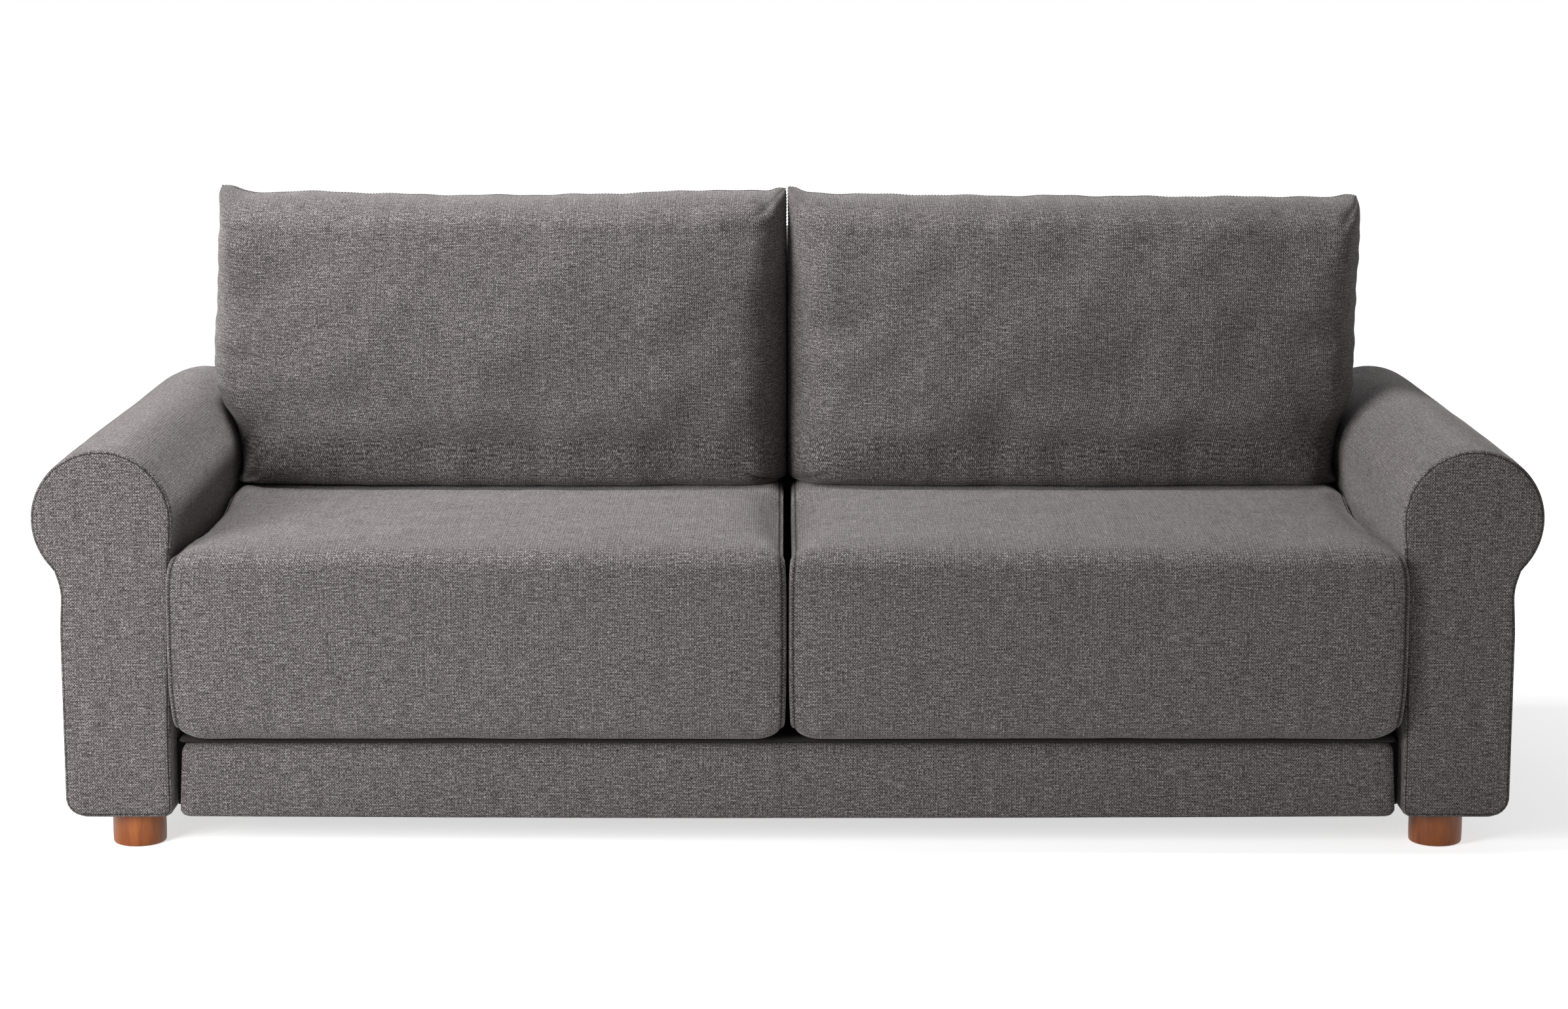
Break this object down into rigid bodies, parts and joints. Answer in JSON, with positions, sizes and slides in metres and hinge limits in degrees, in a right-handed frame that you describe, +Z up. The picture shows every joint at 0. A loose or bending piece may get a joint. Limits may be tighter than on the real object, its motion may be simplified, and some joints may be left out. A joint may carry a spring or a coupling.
{
  "type": "sofa",
  "caption": "Two-cushion sofa with rolled arms, loose boxed seat cushions, loose back cushions, a padded front rail and short round wooden legs.",
  "frame": {"origin": "on the floor, under the middle of the sofa's overall box", "axes": "+X to the right as seen from the front, +Y to the back, +Z up"},
  "size_m": [2.2002, 0.985, 0.912],
  "materials": {
    "woven_fabric": "coarse two-tone basket weave, matt",
    "foam": "cut foam, matt",
    "lining_cloth": "thin non-woven, matt",
    "webbing": "woven elastic strap, matt",
    "leg_wood": "stained and varnished, satin",
    "plywood": "raw, matt",
    "timber": "raw, matt",
    "hardboard": "raw, matt",
    "spring_wire": "drawn wire",
    "zinc_steel": "zinc plated"
  },
  "bodies": {
    "frame": {"left_arm_upholstery": "woven_fabric", "left_arm_front_board": "plywood", "left_arm_rear_board": "plywood", "left_arm_rib": "plywood", "left_arm_base_board": "plywood", "left_arm_inner_panel": "plywood", "left_arm_outer_panel": "hardboard", "left_arm_roll_former": "hardboard", "front_left_leg": "leg_wood", "front_left_leg_bolt": "zinc_steel", "front_left_arm_bolt": "zinc_steel", "rear_left_leg": "leg_wood", "rear_left_leg_bolt": "zinc_steel", "rear_left_arm_bolt": "zinc_steel", "right_arm_upholstery": "woven_fabric", "right_arm_front_board": "plywood", "right_arm_rear_board": "plywood", "right_arm_rib": "plywood", "right_arm_base_board": "plywood", "right_arm_inner_panel": "plywood", "right_arm_outer_panel": "hardboard", "right_arm_roll_former": "hardboard", "front_right_leg": "leg_wood", "front_right_leg_bolt": "zinc_steel", "front_right_arm_bolt": "zinc_steel", "rear_right_leg": "leg_wood", "rear_right_leg_bolt": "zinc_steel", "rear_right_arm_bolt": "zinc_steel", "base_front_rail": "timber", "base_rear_rail": "timber", "base_left_rail": "timber", "base_right_rail": "timber", "base_centre_rail": "timber", "base_spring_rail": "timber", "front_rail_upholstery": "woven_fabric", "seat_deck_pad": "lining_cloth", "bottom_cloth": "lining_cloth", "seat_spring_left_1": "spring_wire", "seat_spring_left_2": "spring_wire", "seat_spring_left_3": "spring_wire", "seat_spring_left_4": "spring_wire", "seat_spring_right_1": "spring_wire", "seat_spring_right_2": "spring_wire", "seat_spring_right_3": "spring_wire", "seat_spring_right_4": "spring_wire", "back_upholstery": "woven_fabric", "back_bottom_board": "plywood", "back_top_rail": "timber", "back_stile_left": "plywood", "back_stile_centre": "plywood", "back_stile_right": "plywood", "back_webbing": "webbing"},
    "left_seat_cushion": {"left_seat_cushion_cover": "woven_fabric", "left_seat_cushion_core": "foam"},
    "left_back_cushion": {"left_back_cushion_cover": "woven_fabric", "left_back_cushion_core": "foam"},
    "right_seat_cushion": {"right_seat_cushion_cover": "woven_fabric", "right_seat_cushion_core": "foam"},
    "right_back_cushion": {"right_back_cushion_cover": "woven_fabric", "right_back_cushion_core": "foam"}
  },
  "joints": [
    {"name": "left_seat_cushion_pull", "type": "slide", "parent": "frame", "child": "left_seat_cushion", "axis": [0, -1, 0], "range_m": [0, 0.78]},
    {"name": "right_seat_cushion_pull", "type": "slide", "parent": "frame", "child": "right_seat_cushion", "axis": [0, -1, 0], "range_m": [0, 0.78]},
    {"name": "left_back_cushion_lift", "type": "slide", "parent": "frame", "child": "left_back_cushion", "axis": [0, 0.1392, 0.9903], "range_m": [0, 0.48]},
    {"name": "right_back_cushion_lift", "type": "slide", "parent": "frame", "child": "right_back_cushion", "axis": [0, 0.1392, 0.9903], "range_m": [0, 0.48]}
  ]
}
